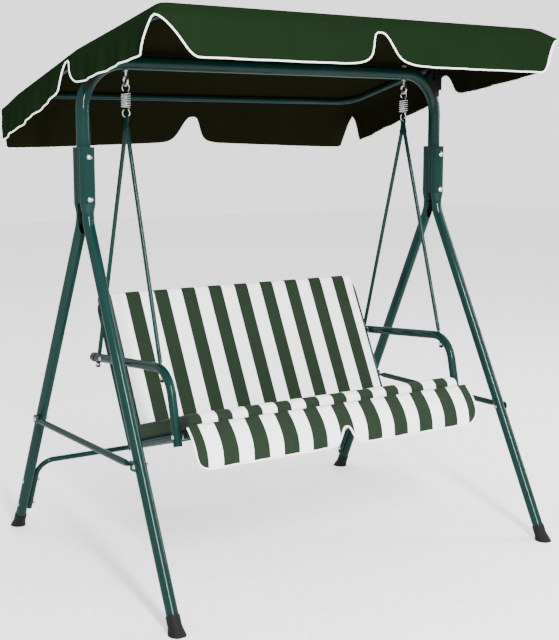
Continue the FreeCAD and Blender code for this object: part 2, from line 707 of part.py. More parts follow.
def eye_bolts():
    """Ringed bolts through the crossbar with a nut on top."""
    bolts, nuts = [], []
    for side in (-1, 1):
        centre = Vector(side * value("hang_x"), 0, value("ring_z"))
        ring = doc.addObject("Part::Torus", "ring")
        bind(ring, Radius1="ring_radius", Radius2="ring_wire / 2")
        ring.Placement = aim(centre, ACROSS)
        foot_of_shank = centre + UP * value("ring_radius")
        shank = cylinder("joint_bolt / 2",
                         "beam_height + beam_diameter / 2 + bolt_spare - ring_z - ring_radius",
                         aim(foot_of_shank, UP))
        collar_z = value("beam_height - beam_diameter / 2 - collar - hang_gap")
        collar = cylinder("joint_bolt * 0.9", "collar", aim(Vector(centre.x, 0, collar_z), UP))
        bolts.append(join(ring, shank, collar))
        seat = Vector(centre.x, 0, value("beam_height + beam_diameter / 2"))
        nuts.append(nut(aim(seat, UP), "joint_bolt", "nut_height"))
    keep(group(*bolts), "eye_bolts")
    keep(group(*nuts), "eye_bolt_nuts")


def spring_hook(middle, loop_z, coil_z, up):
    """An open end loop, and the short link that joins it to the end of the coil."""
    wire = "spring_wire / 2"
    loop = doc.addObject("Part::Torus", "loop")
    bind(loop, Radius1="hook_radius", Radius2=wire, Angle3="hook_sweep")
    centre = Vector(middle, 0, value(loop_z))
    start = Rotation(REARWARD, value("hook_turn") * up)
    loop.Placement = Placement(centre, start.multiply(Rotation(ACROSS, 90 * up)))
    tip = loop.Placement.multVec(point("hook_radius", "0", "0"))
    root = Vector(middle + value("coil_radius"), 0, value(coil_z) + up * value("spring_wire / 2 + snug"))
    span = tip - root
    link = cylinder(wire, "%r" % span.Length, aim(root, span))
    return join(loop, link, ball(wire, tip))


def spring(side_name, side):
    """A close-wound coil with an open loop at each end."""
    middle = side * value("hang_x")
    helix = doc.addObject("Part::Helix", "helix")
    bind(helix, Radius="coil_radius", Pitch="coil_pitch", Height="coil_turns * coil_pitch")
    section = doc.addObject("Part::Circle", "wire")
    bind(section, Radius="spring_wire / 2")
    section.Placement = aim(point("coil_radius", "0", "0"), REARWARD)
    coil = doc.addObject("Part::Sweep", "coil")
    coil.Sections = [section]
    coil.Spine = (helix, [])
    coil.Solid = True
    coil.Frenet = True
    coil.Placement = Placement(Vector(middle, 0, value(COIL_LOW_Z)), Rotation())
    keep(group(coil, spring_hook(middle, TOP_LOOP_Z, COIL_TOP_Z, 1),
               spring_hook(middle, LOW_LOOP_Z, COIL_LOW_Z, -1)), "%s_spring" % side_name)


# ---------------------------------------------------------------- armrests

def arm_x(side):
    return side * value("side_x + bench_tube / 2 + washer_thickness + arm_diameter / 2")


NUT_RADIUS = "rod_stud * 0.94"
ARM_HEADING = "180 deg - arm_rise * 1 deg"
ARM_MOVES = (
    ("run", "arm_top_run"),
    ("turn", "arm_bend", "arm_turn * 1 deg"),
    ("run", "arm_drop"),
)


def arm_spot(run, turned=0):
    """The place on an armrest's centre line after a run and part of its bend, at X = 0."""
    heading = math.radians(value(ARM_HEADING))
    ahead = Vector(0, math.cos(heading), math.sin(heading))
    left = Vector(0, -ahead.z, ahead.y)
    radius = value("arm_bend")
    swing = math.radians(turned)
    spot = point("0", "arm_rear_y", "arm_rear_z") + ahead * run
    return spot + ahead * (radius * math.sin(swing)) + left * (radius * (1 - math.cos(swing)))


def arm_low_end():
    """The lower end of an armrest's centre line and the direction down to it, at X = 0."""
    turn = value("arm_turn")
    heading = math.radians(value(ARM_HEADING) + turn)
    down = Vector(0, math.cos(heading), math.sin(heading))
    return arm_spot(value("arm_top_run"), turn) + down * value("arm_drop"), down


def rod_ends(side, end):
    """Where a hanger rod crosses its armrest, and the middle of its eye."""
    if end < 0:
        low = arm_spot(value("arm_top_run"), value("front_rod_turn"))
    else:
        run = value("(arm_rear_y - rear_rod_y) / cos(arm_rise * 1 deg)")
        low = arm_spot(run)
    low.x = arm_x(side)
    eye = point("0", "0", EYE_Z)
    eye.x = side * value("hang_x") + end * value("rod_offset")
    return low, eye


def rod_seat(end, radius):
    """How far from an armrest's centre a square end of a radius clears it, along a hanger rod."""
    low, eye = rod_ends(1, end)
    turned = value("front_rod_turn") if end < 0 else 0
    heading = math.radians(value(ARM_HEADING) + turned)
    upwards = Vector(0, eye.y - low.y, eye.z - low.z).normalize()
    skew = math.asin(abs(upwards.y * math.cos(heading) + upwards.z * math.sin(heading)))
    clear = value("arm_diameter / 2 + hang_gap") + (value("bend_gap") if end < 0 else 0)
    return clear / math.cos(skew) + value(radius) * math.tan(skew)


def back_point(run):
    """A place on a back upright's centre line at X = 0."""
    lean = math.radians(value("recline"))
    return point("0", "back_tail_y", "back_tail_z") + Vector(0, math.sin(lean), math.cos(lean)) * run


def arm_meets_back():
    """Where an armrest's centre line crosses a back upright's, seen from the side."""
    lean = math.radians(value("recline"))
    rise = math.radians(value("arm_rise"))
    start = point("0", "arm_rear_y", "arm_rear_z")
    low = back_point(0)
    gap = start.z - low.z + (start.y - low.y) * math.tan(rise)
    return back_point(gap / (math.cos(lean) + math.sin(lean) * math.tan(rise)))


def arm_meets_rail():
    """Where an armrest's lower straight crosses a seat rail, seen from the side."""
    end, down = arm_low_end()
    rail = back_point(value("rail_rise"))
    along = slope(value("pitch"))
    across = Vector(0, along.z, -along.y)
    distance = (rail - end).dot(across) / down.dot(across)
    return end + down * distance


def armrest(side_name, side):
    bar = tube("YZ_Plane", ("arm_rear_y", "arm_rear_z"), ARM_HEADING, ARM_MOVES, "arm_diameter",
               "arm_wall", Placement(Vector(arm_x(side), 0, 0), Rotation()))
    holes = []
    for end in (-1, 1):
        low, eye = rod_ends(side, end)
        upwards = eye - low
        upwards.normalize()
        holes.append(cylinder("rod_stud / 2 + hole_gap", "arm_diameter * 2",
                              aim(low - upwards * value("arm_diameter"), upwards)))
    for spot in (arm_meets_back(), arm_meets_rail()):
        holes.append(cylinder("small_bolt / 2 + hole_gap", "arm_diameter * 2", aim(
            spot + ACROSS * (arm_x(side) - value("arm_diameter")), ACROSS)))
    keep(cut(bar, *holes), "%s_armrest" % side_name)


def tube_plug(end, outwards, diameter, wall):
    """A lid on a tube's end with a stem inside the tube."""
    lid = cylinder("(%s) / 2" % diameter, "plug_lid", aim(end, outwards))
    stem = cylinder("(%s) / 2 - (%s) - snug" % (diameter, wall), "plug_stem + plug_lid / 2",
                    aim(end - outwards * value("plug_stem"), outwards))
    return join(lid, stem)


def armrest_caps():
    """Black end caps: a sleeve over each rear end, a plug under each lower end."""
    caps = []
    for side in (-1, 1):
        heading = math.radians(value(ARM_HEADING))
        back = Vector(0, -math.cos(heading), -math.sin(heading))
        rear = point("0", "arm_rear_y", "arm_rear_z") + ACROSS * arm_x(side)
        start = aim(rear - back * value("cap_sleeve"), back)
        sleeve = cylinder("arm_diameter / 2 + cap_wall", "cap_sleeve + cap_end", start)
        cap = dome("(arm_diameter / 2 + cap_wall) / cos(cap_dome * 1 deg)",
                   aim(rear + back * value("cap_end"), back), "cap_dome")
        bore = cylinder("arm_diameter / 2 + snug", "cap_sleeve", start)
        caps.append(cut(join(sleeve, cap), bore))
        end, down = arm_low_end()
        end.x = arm_x(side)
        caps.append(tube_plug(end, down, "arm_diameter", "arm_wall"))
    keep(group(*caps), "armrest_end_caps")


def armrest_fasteners():
    """Bolts, spacers and nuts that fix the armrests to the bench tubes."""
    bolts, nuts, spacers = [], [], []
    for side in (-1, 1):
        outwards = ACROSS * side
        for spot in (arm_meets_back(), arm_meets_rail()):
            outer = spot + ACROSS * (arm_x(side) + side * value("arm_diameter / 2"))
            inner = spot + ACROSS * (side * value("side_x - bench_tube / 2 - 2 * fit_gap"))
            between = spot + ACROSS * (side * value("side_x + bench_tube / 2"))
            bolts.append(bolt(aim(outer, outwards), "small_bolt",
                              "arm_diameter + washer_thickness + bench_tube + bolt_spare"))
            nuts.append(nut(aim(inner, outwards * -1), "small_bolt", "small_nut"))
            washer = cylinder("washer_radius", "washer_thickness", aim(between, outwards))
            hole = cylinder("small_bolt / 2 + snug", "washer_thickness", aim(between, outwards))
            spacers.append(cut(washer, hole))
    keep(group(*bolts), "armrest_bolts")
    keep(group(*nuts), "armrest_nuts")
    keep(group(*spacers), "armrest_spacers")


# ---------------------------------------------------------------- hanger rods

def hanger_rod(side_name, side, end_name, end):
    """A rod with a flat eye at the top and a stud through the armrest."""
    low, eye = rod_ends(side, end)
    length = (eye - low).Length
    up = aim(low, eye - low)

    def along(distance, sideways=0):
        return up.multiply(Placement(Vector(sideways, 0, distance), Rotation()))

    seat = rod_seat(end, "rod_diameter / 2")
    low_end = rod_seat(end, NUT_RADIUS) + value("nut_height + cap_height")
    stud = cylinder("rod_stud / 2", "%r" % (seat + low_end + 1), along(-low_end))
    shaft = cylinder("rod_diameter / 2", "%r - eye_flat + eye_overlap" % (length - seat), along(seat))
    flat = doc.addObject("Part::Box", "flat")
    bind(flat, Length="eye_thickness", Width="eye_width", Height="eye_flat")
    corner = Vector(-value("eye_thickness / 2"), -value("eye_width / 2"), length - value("eye_flat"))
    flat.Placement = up.multiply(Placement(corner, Rotation()))
    turned = Rotation(REARWARD, 90)
    middle = Vector(-value("eye_thickness / 2"), 0, length)
    rounded = cylinder("eye_width / 2", "eye_thickness", up.multiply(Placement(middle, turned)))
    through = Vector(-value("eye_width"), 0, length)
    hole = cylinder("eye_radius", "eye_width * 2", up.multiply(Placement(through, turned)))
    keep(cut(join(stud, shaft, flat, rounded), hole), "%s_%s_hanger_rod" % (end_name, side_name))


def hanger_nuts():
    """A nut and a round cap under the armrest on each hanger rod."""
    nuts, caps = [], []
    for side in (-1, 1):
        for end in (-1, 1):
            low, eye = rod_ends(side, end)
            down = low - eye
            down.normalize()
            face = low + down * rod_seat(end, NUT_RADIUS)
            nuts.append(nut(aim(face, down), "rod_stud", "nut_height"))
            rim = aim(face + down * value("nut_height"), down)
            top = aim(face + down * value("nut_height + cap_height"), down)
            shell = join(cylinder("rod_stud * 0.95", "cap_height", rim), dome("rod_stud", top, "18"))
            caps.append(cut(shell, cylinder("rod_stud / 2 + snug", "cap_height + hang_gap", rim)))
    keep(group(*nuts), "hanger_nuts")
    keep(group(*caps), "hanger_nut_caps")


# ---------------------------------------------------------------- bench frame and pads

BACK_START = ("-side_x", "0")
BACK_MOVES = (
    ("run", "back_length - back_bend"),
    ("turn", "back_bend", "-90 deg"),
    ("run", "2 * (side_x - back_bend)"),
    ("turn", "back_bend", "-90 deg"),
    ("run", "back_length - back_bend"),
)


def back_frame_place():
    lean = math.radians(value("recline"))
    return incline(back_point(0), Vector(0, math.sin(lean), math.cos(lean)))


def rail_place():
    return incline(back_point(value("rail_rise")), slope(value("pitch")))


def arm_bolt_holes(spot):
    """Bores across both side tubes for the armrest bolts."""
    return [cylinder("small_bolt / 2 + hole_gap", "bench_tube * 2", aim(
        spot + ACROSS * (side * value("side_x") - value("bench_tube")), ACROSS)) for side in (-1, 1)]


def back_frame():
    bar = tube("XY_Plane", BACK_START, "90 deg", BACK_MOVES, "bench_tube", "bench_wall",
               back_frame_place())
    keep(cut(bar, *arm_bolt_holes(arm_meets_back())), "back_frame")
    plugs = []
    for side in (-1, 1):
        down = back_point(0) - back_point(1)
        end = back_point(0) + ACROSS * (side * value("side_x"))
        plugs.append(tube_plug(end, down, "bench_tube", "bench_wall"))
    keep(group(*plugs), "back_frame_plugs")


def seat_frame():
    """Two rails and a front bar in one bent tube, its rear ends shaped to the uprights."""
    moves = (
        ("run", "rail_length - rail_bend"),
        ("turn", "rail_bend", "-90 deg"),
        ("run", "2 * (side_x - rail_bend)"),
        ("turn", "rail_bend", "-90 deg"),
        ("run", "rail_length - rail_bend"),
    )
    bar = tube("XY_Plane", ("-side_x", "0"), "90 deg", moves, "bench_tube", "bench_wall", rail_place())
    uprights = []
    for side in (-1, 1):
        start = back_point(-value("2 * bench_tube")) + ACROSS * (side * value("side_x"))
        uprights.append(cylinder("bench_tube / 2 + snug", "back_length", aim(
            start, back_point(1) - back_point(0))))
    keep(cut(bar, *uprights, *arm_bolt_holes(arm_meets_rail())), "seat_frame")


def seat_rear_bar():
    """A bar between the rails, its ends shaped to them."""
    along = slope(value("pitch"))
    rail = back_point(value("rail_rise"))
    start = rail + along * value("rear_bar_run") - ACROSS * value("side_x")
    bar = cylinder("bench_tube / 2", "2 * side_x", aim(start, ACROSS))
    hollow = cylinder("bench_tube / 2 - bench_wall", "2 * side_x", aim(start, ACROSS))
    rails = [cylinder("bench_tube / 2 + snug", "rail_length", aim(
        rail + ACROSS * (side * value("side_x")), along)) for side in (-1, 1)]
    keep(cut(bar, hollow, *rails), "seat_rear_bar")


def seat_pad():
    """The seat cushion on the rails; its rear face follows the back."""
    body = doc.addObject("PartDesign::Body", "cushion")
    lean = "(recline - pitch) * 1 deg"
    low = "(bench_tube / 2 + soft_gap)"
    high = "(%s + seat_thickness)" % low
    rear = "((back_thickness / 2 + soft_gap * 2) / cos(" + lean + ") - %s * tan(" + lean + "))"
    corners = (
        (rear % low, "-" + low),
        ("seat_depth", "-" + low),
        ("seat_depth", "-" + high),
        (rear % high, "-" + high),
    )
    sketch = sketch_on(body, "YZ_Plane")
    outline(sketch, corners)
    pad(body, sketch, "2 * pad_x")
    front = value("seat_depth")

    def front_edge(edge):
        ends = [vertex.Point for vertex in edge.Vertexes]
        return all(abs(spot.y - front) < 0.1 for spot in ends) and abs(ends[0].x - ends[1].x) > 1

    round_edges(body, "seat_round", front_edge)
    body.Placement = rail_place()
    keep(body, "seat_pad")


def back_pad():
    """The back cushion, sleeved over the back tube."""
    body = doc.addObject("PartDesign::Body", "cushion")
    sketch = sketch_on(body, "XY_Plane")
    outline(sketch, (("-pad_x", "back_pad_low"), ("pad_x", "back_pad_low"),
                     ("pad_x", "back_pad_high"), ("-pad_x", "back_pad_high")))
    pad(body, sketch, "back_thickness")
    round_edges(body, "back_thickness / 3", lambda edge: edge.BoundBox.XLength > 1)
    pipe(body, "PartDesign::SubtractivePipe", "XY_Plane", BACK_START, "90 deg", BACK_MOVES,
         ["bench_tube / 2 + soft_gap"])
    body.Placement = back_frame_place()
    cuts = []
    for side in (-1, 1):
        start = arm_meets_back() + ACROSS * (side * value("side_x"))
        for outwards, radius in ((side, "washer_radius + soft_gap"), (-side, "small_bolt")):
            cuts.append(cylinder(radius, "back_thickness", aim(start, ACROSS * outwards)))
    keep(cut(body, *cuts), "back_pad")


def seat_valance():
    """The flap sewn under the seat's front, bowed out, with a middle notch and round corners."""
    body = doc.addObject("PartDesign::Body", "flap")
    top = point("0", "valance_top_y", "valance_top_z")
    low = point("0", "valance_low_y", "valance_low_z")
    chord = low - top
    out = Vector(0, chord.z, -chord.y)
    out.normalize()
    sketch = sketch_on(body, "YZ_Plane")
    bow = (top + low) * 0.5 + out * value("valance_bow")
    faces = []
    for depth in ("0", "valance_thickness"):
        shift = out * -value(depth)
        faces.append([Vector(spot.y, spot.z, 0) for spot in (top + shift, bow + shift, low + shift)])
        sketch.addGeometry(Part.Arc(*faces[-1]))
    for number in (0, 2):
        sketch.addGeometry(Part.LineSegment(faces[0][number], faces[1][number]))
    for geometry in range(4):
        sketch.addConstraint(Sketcher.Constraint("Block", geometry))
    pad(body, sketch, "2 * pad_x")
    gaps = sketch_on(body, "XZ_Plane")
    hem = "valance_low_z - valance_thickness * 2"
    neck, peak = "valance_low_z + valance_neck_z", "valance_low_z + valance_peak_z"
    outline(gaps, (("-valance_gap", hem), ("valance_gap", hem), ("valance_neck", neck),
                   ("valance_peak", peak), ("-valance_peak", peak), ("-valance_neck", neck)))
    pocket = body.newObject("PartDesign::Pocket", "notch")
    pocket.Profile = gaps
    pocket.Type = 1
    pocket.Midplane = True
    body.Tip = pocket
    keep(body, "seat_valance")


# ---------------------------------------------------------------- canopy

def canopy_bow(end_name, end):
    """A U of tube under one half of the canopy's top."""
    tilt = "front_rise" if end < 0 else "-rear_fall"
    reach = "((ridge_y - bow_inset) / cos(%s * 1 deg))" % tilt
    moves = (
        ("run", "%s - bow_bend - bow_start" % reach),
        ("turn", "bow_bend", "-90 deg"),
        ("run", "2 * (ridge_x - bow_inset - bow_bend)"),
        ("turn", "bow_bend", "-90 deg"),
        ("run", "%s - bow_bend - bow_start" % reach),
    )
    forward = bow_way(end)
    place = incline(point("0", "0", "ridge_z - bow_below"), forward)
    keep(tube("XY_Plane", ("-(ridge_x - bow_inset)", "bow_start"), "90 deg", moves, "bow_diameter",
              "bow_wall", place), "canopy_%s_bow" % end_name)


def bow_way(end):
    """The direction of a bow's side runs, away from the middle."""
    if end < 0:
        return slope(value("front_rise"))
    fall = math.radians(value("rear_fall"))
    return Vector(0, math.cos(fall), -math.sin(fall))


def canopy_holder(side_name, side):
    """Two sockets for the bows on a tongue that turns in the bracket."""
    middle = Vector(side * value("ridge_x - bow_inset"), 0, value("ridge_z - bow_below"))
    pivot = Vector(side * value("pivot_x"), 0, value("pivot_z"))
    solids, bores = [], []
    for end in (-1, 1):
        way = bow_way(end)
        solids.append(cylinder("bow_diameter / 2 + socket_wall", "socket_reach", aim(middle, way)))
        bores.append(cylinder("bow_diameter / 2 + fit_gap / 2", "socket_reach",
                              aim(middle + way * value("bow_start - soft_gap"), way)))
    half = value("tongue_half")
    radius = value("tongue_radius")
    solids.append(box("2 * tongue_half", "2 * tongue_radius",
                      "ridge_z - bow_below - pivot_z - bow_diameter / 4",
                      pivot - Vector(half, radius, 0)))
    solids.append(cylinder("tongue_radius", "2 * tongue_half", aim(pivot - ACROSS * half, ACROSS)))
    bores.append(cylinder("pivot_pin / 2 + snug", "4 * tongue_half",
                          aim(pivot - ACROSS * (2 * half), ACROSS)))
    keep(cut(join(*solids), *bores), "%s_canopy_holder" % side_name)


def canopy_bracket(side_name, side):
    """A plastic saddle on the crossbar's bend, slotted for the holder's tongue."""
    body = doc.addObject("PartDesign::Body", "saddle")
    outer, lip = "joint_x + saddle_out", "joint_x + saddle_lip"
    low, step = "beam_height - saddle_low", "beam_height - saddle_step"
    inner, top = "joint_x - saddle_in", "pivot_z + saddle_over"
    sketch = sketch_on(body, "XZ_Plane")
    outline(sketch, (("joint_x - saddle_toe", low), (lip, low), (lip, step), (outer, step),
                     (outer, top), (inner, top), (inner, "beam_height - saddle_slant")))
    pad(body, sketch, "2 * saddle_half")
    if side < 0:
        body.Placement = Placement(Vector(), Rotation(UP, 180))
    beam = tube("XZ_Plane", BEAM_START, "90 deg", BEAM_MOVES, "beam_diameter + 2 * fit_gap")
    half = value("tongue_half + pivot_gap")
    pivot = Vector(side * value("pivot_x"), 0, value("pivot_z"))
    slot = box("2 * (tongue_half + pivot_gap)", "4 * saddle_half", "4 * tongue_radius",
               pivot - Vector(half, value("2 * saddle_half"), value("tongue_radius + pivot_gap")))
    bore = cylinder("pivot_pin / 2 + snug", "4 * saddle_in",
                    aim(pivot - ACROSS * value("2 * saddle_in"), ACROSS))
    keep(cut(body, beam, slot, bore), "%s_canopy_bracket" % side_name)


def pivot_bolts():
    """One bolt on each side that the canopy tilts about."""
    bolts = []
    for side in (-1, 1):
        outer = Vector(side * value("joint_x + saddle_out"), 0, value("pivot_z"))
        bolts.append(bolt(aim(outer, ACROSS * side), "pivot_pin",
                          "joint_x + saddle_out - pivot_x + 2 * tongue_half"))
    keep(group(*bolts), "canopy_pivot_bolts")


def canopy_top():
    """The sewn top: two slopes and the brim round them, as one sheet."""
    rise = math.tan(math.radians(value("front_rise")))
    fall = math.tan(math.radians(value("rear_fall")))
    ridge_x, ridge_y, ridge_z = value("ridge_x"), value("ridge_y"), value("ridge_z")
    brim_x, brim_y, drop = value("brim_x"), value("brim_y"), value("brim_drop")
    middle_z = value("ridge_z - brim_middle_drop")
    faces = []
    for end, grade in ((-1, rise), (1, -fall)):
        ridge = [Vector(side * ridge_x, y, ridge_z + abs(y) * grade) for side, y in
                 ((-1, 0), (1, 0), (1, end * ridge_y), (-1, end * ridge_y))]
        corner_z = ridge_z - drop + brim_y * grade
        brim = [Vector(side * brim_x, y, height) for side, y, height in
                ((-1, 0, middle_z), (1, 0, middle_z), (1, end * brim_y, corner_z),
                 (-1, end * brim_y, corner_z))]
        faces.append(ridge)
        faces.append([ridge[3], ridge[2], brim[2], brim[3]])
        for near, far in ((0, 3), (1, 2)):
            faces.append([ridge[near], brim[near], brim[far]])
            faces.append([ridge[near], brim[far], ridge[far]])
    down = Vector(0, 0, -value("cloth"))
    slabs = [Part.Face(Part.makePolygon(corners + corners[:1])).extrude(down) for corners in faces]
    sheet_of_cloth = doc.addObject("Part::Feature", "cloth")
    sheet_of_cloth.Shape = slabs[0].multiFuse(slabs[1:]).removeSplitter()
    keep(sheet_of_cloth, "canopy_top")


def flap_half(middle, corner, fall, corner_cut):
    """One half of a flap: from its middle notch to its corner, cut away towards the hem."""
    along = (corner - middle).normalize()
    depth = fall.Length
    left_over = value("notch_left") / depth

    def spot(run, share):
        return middle + along * run + fall * share

    length = (corner - middle).Length
    half, neck = value("notch_half"), value("notch_neck")
    round_top = Part.Arc(spot(0, left_over), spot(neck * 0.75, left_over + 0.13), spot(neck, 0.5))
    route = [spot(neck, 0.5), spot(half, 1), spot(length - corner_cut, 1),
             spot(length - corner_cut * 0.25, 0.25), corner, middle, spot(0, left_over)]
    edges = [Part.makeLine(here, there) for here, there in zip(route, route[1:])]
    return Part.Face(Part.Wire(Part.__sortEdges__(edges + [round_top.toShape()])))


def flap(name, middle, corners, fall, corner_cut, inwards):
    """Make a flap as a thin solid, one flat half on each side of its middle."""
    gap = Vector(0, 0, -value("cloth + soft_gap"))
    halves = [flap_half(middle + gap, corner + gap, fall, corner_cut).extrude(inwards)
              for corner in corners]
    thin = doc.addObject("Part::Feature", "cloth")
    thin.Shape = halves[0].fuse(halves[1]).removeSplitter()
    keep(thin, name)


def brim_corner(side, end):
    grade = "front_rise" if end < 0 else "-rear_fall"
    height = "ridge_z - brim_drop + brim_y * tan(%s * 1 deg)" % grade
    return Vector(side * value("brim_x"), end * value("brim_y"), value(height))


def canopy_flaps():
    cloth = value("cloth")
    for end_name, end in ENDS:
        corners = [brim_corner(side, end) for side in (-1, 1)]
        fall = Vector(0, end * value("flap_flare"), -value("flap_drop"))
        flap("canopy_%s_flap" % end_name, (corners[0] + corners[1]) * 0.5, corners, fall,
             value("corner_notch"), Vector(0, -end * cloth, 0))
    for side_name, side in SIDES:
        middle = Vector(side * value("brim_x"), 0, value("ridge_z - brim_middle_drop"))
        corners = []
        for end in (-1, 1):
            corner = brim_corner(side, end)
            inset = (middle - corner).normalize() * value("cloth + 2 * soft_gap")
            corners.append(corner + inset)
        fall = Vector(side * value("side_flare"), 0, -value("side_drop"))
        flap("canopy_%s_flap" % side_name, middle, corners, fall, value("side_notch"),
             Vector(-side * cloth, 0, 0))


# ---------------------------------------------------------------- assembly

crossbar()
for side_name, side in SIDES:
    for end_name, end in ENDS:
        leg(side_name, side, end_name, end)
        foot(side_name, side, end_name, end)
    side_brace(side_name, side)
rear_stretcher()
frame_fasteners()
eye_bolts()
for side_name, side in SIDES:
    spring(side_name, side)
    armrest(side_name, side)
    for end_name, end in ENDS:
        hanger_rod(side_name, side, end_name, end)
armrest_caps()
armrest_fasteners()
hanger_nuts()
back_frame()
seat_frame()
seat_rear_bar()
seat_pad()
back_pad()
seat_valance()
for end_name, end in ENDS:
    canopy_bow(end_name, end)
for side_name, side in SIDES:
    canopy_holder(side_name, side)
    canopy_bracket(side_name, side)
pivot_bolts()
canopy_top()
canopy_flaps()
doc.recompute()

# ---------------------------------------------------------------- checks and export

faults = [item.Label for item in doc.Objects if {"Invalid", "Error"} & set(item.State)]
if faults:
    raise RuntimeError("failed features: %s" % faults)
for piece in parts:
    if piece.Shape.isNull() or not piece.Shape.isValid() or not piece.Shape.Solids:
        raise RuntimeError("bad shape: %s" % piece.Label)

os.makedirs("parts", exist_ok=True)
for piece in parts:
    piece.Shape.exportStep("parts/%s.step" % piece.Label)
    print("%-28s %d solids %10.0f mm3" % (piece.Label, len(piece.Shape.Solids), piece.Shape.Volume))
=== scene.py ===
"""Two-seat glider swing: fabric, padding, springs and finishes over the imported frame."""
import json
import math

import bmesh
import bpy
from mathutils import Matrix, Vector


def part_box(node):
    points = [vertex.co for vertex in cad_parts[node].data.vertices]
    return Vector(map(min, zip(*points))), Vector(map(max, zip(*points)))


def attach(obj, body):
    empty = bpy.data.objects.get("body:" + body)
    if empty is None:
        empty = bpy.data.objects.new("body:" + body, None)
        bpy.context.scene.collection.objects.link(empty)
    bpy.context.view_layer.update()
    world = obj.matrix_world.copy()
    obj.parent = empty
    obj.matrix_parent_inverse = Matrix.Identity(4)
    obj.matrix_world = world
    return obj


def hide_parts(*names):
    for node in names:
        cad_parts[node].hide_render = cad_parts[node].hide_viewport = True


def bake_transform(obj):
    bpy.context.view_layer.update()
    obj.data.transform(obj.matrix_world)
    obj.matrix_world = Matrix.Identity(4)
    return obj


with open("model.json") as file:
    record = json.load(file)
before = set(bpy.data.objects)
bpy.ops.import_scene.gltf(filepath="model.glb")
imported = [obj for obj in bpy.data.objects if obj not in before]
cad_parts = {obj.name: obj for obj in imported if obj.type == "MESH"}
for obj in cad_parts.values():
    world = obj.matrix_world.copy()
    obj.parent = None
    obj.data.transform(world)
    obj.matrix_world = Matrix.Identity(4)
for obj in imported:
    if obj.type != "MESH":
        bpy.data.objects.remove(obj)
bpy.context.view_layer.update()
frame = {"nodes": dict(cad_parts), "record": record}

NODES = frame["nodes"]
UP = Vector((0, 0, 1))

# Camera
CAMERA_PLACE = Vector((-1.991, -2.990, 1.204))
CAMERA_AZIMUTH = -33.86
CAMERA_ELEVATION = 8.49
CAMERA_LENS = 67.43

# Pads
STRIPE = 0.048
PAD_CORNER = 0.018
PAD_VOXEL = 0.0055
BARE_EDGE = 0.008
BACK_TILT = math.radians(26.4)
BACK_ROUND = 0.006
BACK_THICKER, BACK_LONGER = 0.003, 0.008
SEAT_INSET = 0.004
BACK_PRESSURE, BACK_RISE = 3.0, 0.003
SEAT_PRESSURE, SEAT_RISE = 4.0, 0.006
FILL_FRAMES = 20

# Canopy cover
RIDGE_X, RIDGE_Y = 0.608, 0.430
BRIM_X, BRIM_Y = 0.657, 0.485
CREST_Z = 1.450
FRONT_SLOPE = math.tan(math.radians(10.28))
REAR_SLOPE = -math.tan(math.radians(13.02))
BRIM_DROP, BRIM_MIDDLE_DROP = 0.040, 0.025
CORNER_ROUND = 0.022
COVER_SINK = 0.0004
COVER_SAG = 0.006
SAG_END, SAG_FADE = 0.42, 0.12
COVER_COLUMNS, COVER_ROWS = 152, 112
BRIM_ROWS, FLAP_ROWS = 5, 9
BRIM_LIFT = 0.010
END_DROP, END_FLARE = 0.101, 0.038
SIDE_DROP, SIDE_FLARE = 0.085, 0.008
REAR_DROOP, DROOP_FLARE = 0.014, 0.3
FLAP_BILLOW = 0.004
LEAST_FLAP = 0.06
NOTCH_DEPTH, NOTCH_POWER = 0.90, 3.4
END_NECK, SIDE_NECK = 0.037, 0.034
FRONT_CORNER, SIDE_CORNER, REAR_CORNER = 0.100, 0.060, 0.030
COVER_THICKNESS = 0.0014
PIPING_RADIUS = 0.0022

# Colours, as linear red, green and blue
POWDER_GREEN = (0.0022, 0.0165, 0.0140)
COVER_GREEN = (0.0046, 0.0108, 0.0042)
# Painted shade: the canopy's underside colour is a near-black olive standing in for the shade under
# the cover, not the cloth's own colour
COVER_UNDERSIDE_SHADE = (0.0056, 0.0058, 0.0026)
STRIPE_GREEN = (0.0085, 0.0185, 0.0085)
STRIPE_WHITE = (0.86, 0.86, 0.90)
PIPING_WHITE = (0.88, 0.88, 0.86)
ZINC = (0.50, 0.51, 0.50)
BLACK = (0.004, 0.004, 0.004)
PLUG_WHITE = (0.78, 0.78, 0.75)
FLOOR_WHITE = (0.90, 0.90, 0.90)


# ---------------------------------------------------------------- material helpers

